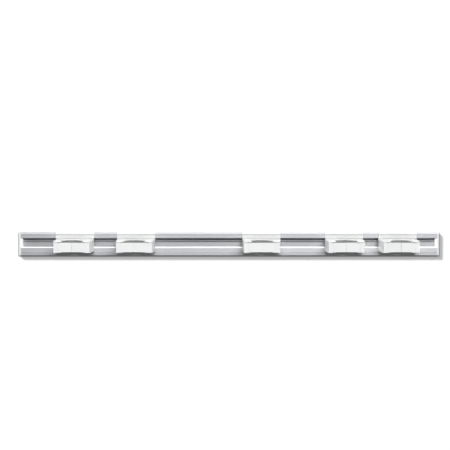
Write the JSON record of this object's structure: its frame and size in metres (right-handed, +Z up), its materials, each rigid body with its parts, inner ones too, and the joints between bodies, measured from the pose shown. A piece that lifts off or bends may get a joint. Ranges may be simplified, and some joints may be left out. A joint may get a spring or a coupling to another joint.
{
  "type": "wall mop holder rack",
  "caption": "Aluminium wall rail with white end caps and sliding holders, each with a handle channel closed by two sprung swing-in jaws.",
  "frame": {"origin": "middle of the rail's back face, on the wall plane", "axes": "+X along the rail to the right as seen from the front, +Y into the wall, +Z up"},
  "size_m": [0.9, 0.066, 0.0538],
  "materials": {
    "anodised_aluminium": "satin",
    "white_plastic": "satin",
    "soft_grip": "matt",
    "stainless_steel": "drawn"
  },
  "bodies": {
    "rail": {"rail": "anodised_aluminium", "end_cap_left": "white_plastic", "end_cap_right": "white_plastic"},
    "holder_1": {"holder_1_carrier": "white_plastic", "holder_1_hinge_pins": "stainless_steel", "holder_1_spring_left": "stainless_steel", "holder_1_spring_right": "stainless_steel"},
    "holder_1_left_jaw": {"holder_1_jaw_left": "white_plastic", "holder_1_grip_left": "soft_grip"},
    "holder_1_right_jaw": {"holder_1_jaw_right": "white_plastic", "holder_1_grip_right": "soft_grip"},
    "holder_2": {"holder_2_carrier": "white_plastic", "holder_2_hinge_pins": "stainless_steel", "holder_2_spring_left": "stainless_steel", "holder_2_spring_right": "stainless_steel"},
    "holder_2_left_jaw": {"holder_2_jaw_left": "white_plastic", "holder_2_grip_left": "soft_grip"},
    "holder_2_right_jaw": {"holder_2_jaw_right": "white_plastic", "holder_2_grip_right": "soft_grip"},
    "holder_3": {"holder_3_carrier": "white_plastic", "holder_3_hinge_pins": "stainless_steel", "holder_3_spring_left": "stainless_steel", "holder_3_spring_right": "stainless_steel"},
    "holder_3_left_jaw": {"holder_3_jaw_left": "white_plastic", "holder_3_grip_left": "soft_grip"},
    "holder_3_right_jaw": {"holder_3_jaw_right": "white_plastic", "holder_3_grip_right": "soft_grip"},
    "holder_4": {"holder_4_carrier": "white_plastic", "holder_4_hinge_pins": "stainless_steel", "holder_4_spring_left": "stainless_steel", "holder_4_spring_right": "stainless_steel"},
    "holder_4_left_jaw": {"holder_4_jaw_left": "white_plastic", "holder_4_grip_left": "soft_grip"},
    "holder_4_right_jaw": {"holder_4_jaw_right": "white_plastic", "holder_4_grip_right": "soft_grip"},
    "holder_5": {"holder_5_carrier": "white_plastic", "holder_5_hinge_pins": "stainless_steel", "holder_5_spring_left": "stainless_steel", "holder_5_spring_right": "stainless_steel"},
    "holder_5_left_jaw": {"holder_5_jaw_left": "white_plastic", "holder_5_grip_left": "soft_grip"},
    "holder_5_right_jaw": {"holder_5_jaw_right": "white_plastic", "holder_5_grip_right": "soft_grip"}
  },
  "joints": [
    {"name": "holder_1_slide", "type": "slide", "parent": "rail", "child": "holder_1", "axis": [1, 0, 0], "range_m": [-0.076, 0.023]},
    {"name": "holder_1_left_jaw_swing", "type": "hinge", "parent": "holder_1", "child": "holder_1_left_jaw", "pos_m": [-0.3535, -0.062, 0], "axis": [0, 0, 1], "range_deg": [0, 66], "stiffness_Nm_per_rad": 0.08, "springref_deg": -45.84, "deforming": ["holder_1_spring_left"]},
    {"name": "holder_1_right_jaw_swing", "type": "hinge", "parent": "holder_1", "child": "holder_1_right_jaw", "pos_m": [-0.3025, -0.062, 0], "axis": [0, 0, -1], "range_deg": [0, 66], "stiffness_Nm_per_rad": 0.08, "springref_deg": -45.84, "deforming": ["holder_1_spring_right"]},
    {"name": "holder_2_slide", "type": "slide", "parent": "rail", "child": "holder_2", "axis": [1, 0, 0], "range_m": [-0.023, 0.091]},
    {"name": "holder_2_left_jaw_swing", "type": "hinge", "parent": "holder_2", "child": "holder_2_left_jaw", "pos_m": [-0.2235, -0.062, 0], "axis": [0, 0, 1], "range_deg": [0, 66], "stiffness_Nm_per_rad": 0.08, "springref_deg": -45.84, "deforming": ["holder_2_spring_left"]},
    {"name": "holder_2_right_jaw_swing", "type": "hinge", "parent": "holder_2", "child": "holder_2_right_jaw", "pos_m": [-0.1725, -0.062, 0], "axis": [0, 0, -1], "range_deg": [0, 66], "stiffness_Nm_per_rad": 0.08, "springref_deg": -45.84, "deforming": ["holder_2_spring_right"]},
    {"name": "holder_3_slide", "type": "slide", "parent": "rail", "child": "holder_3", "axis": [1, 0, 0], "range_m": [-0.091, 0.045]},
    {"name": "holder_3_left_jaw_swing", "type": "hinge", "parent": "holder_3", "child": "holder_3_left_jaw", "pos_m": [0.0435, -0.062, 0], "axis": [0, 0, 1], "range_deg": [0, 66], "stiffness_Nm_per_rad": 0.08, "springref_deg": -45.84, "deforming": ["holder_3_spring_left"]},
    {"name": "holder_3_right_jaw_swing", "type": "hinge", "parent": "holder_3", "child": "holder_3_right_jaw", "pos_m": [0.0945, -0.062, 0], "axis": [0, 0, -1], "range_deg": [0, 66], "stiffness_Nm_per_rad": 0.08, "springref_deg": -45.84, "deforming": ["holder_3_spring_right"]},
    {"name": "holder_4_slide", "type": "slide", "parent": "rail", "child": "holder_4", "axis": [1, 0, 0], "range_m": [-0.045, 0.015]},
    {"name": "holder_4_left_jaw_swing", "type": "hinge", "parent": "holder_4", "child": "holder_4_left_jaw", "pos_m": [0.2195, -0.062, 0], "axis": [0, 0, 1], "range_deg": [0, 66], "stiffness_Nm_per_rad": 0.08, "springref_deg": -45.84, "deforming": ["holder_4_spring_left"]},
    {"name": "holder_4_right_jaw_swing", "type": "hinge", "parent": "holder_4", "child": "holder_4_right_jaw", "pos_m": [0.2705, -0.062, 0], "axis": [0, 0, -1], "range_deg": [0, 66], "stiffness_Nm_per_rad": 0.08, "springref_deg": -45.84, "deforming": ["holder_4_spring_right"]},
    {"name": "holder_5_slide", "type": "slide", "parent": "rail", "child": "holder_5", "axis": [1, 0, 0], "range_m": [-0.015, 0.045]},
    {"name": "holder_5_left_jaw_swing", "type": "hinge", "parent": "holder_5", "child": "holder_5_left_jaw", "pos_m": [0.3335, -0.062, 0], "axis": [0, 0, 1], "range_deg": [0, 66], "stiffness_Nm_per_rad": 0.08, "springref_deg": -45.84, "deforming": ["holder_5_spring_left"]},
    {"name": "holder_5_right_jaw_swing", "type": "hinge", "parent": "holder_5", "child": "holder_5_right_jaw", "pos_m": [0.3845, -0.062, 0], "axis": [0, 0, -1], "range_deg": [0, 66], "stiffness_Nm_per_rad": 0.08, "springref_deg": -45.84, "deforming": ["holder_5_spring_right"]}
  ]
}
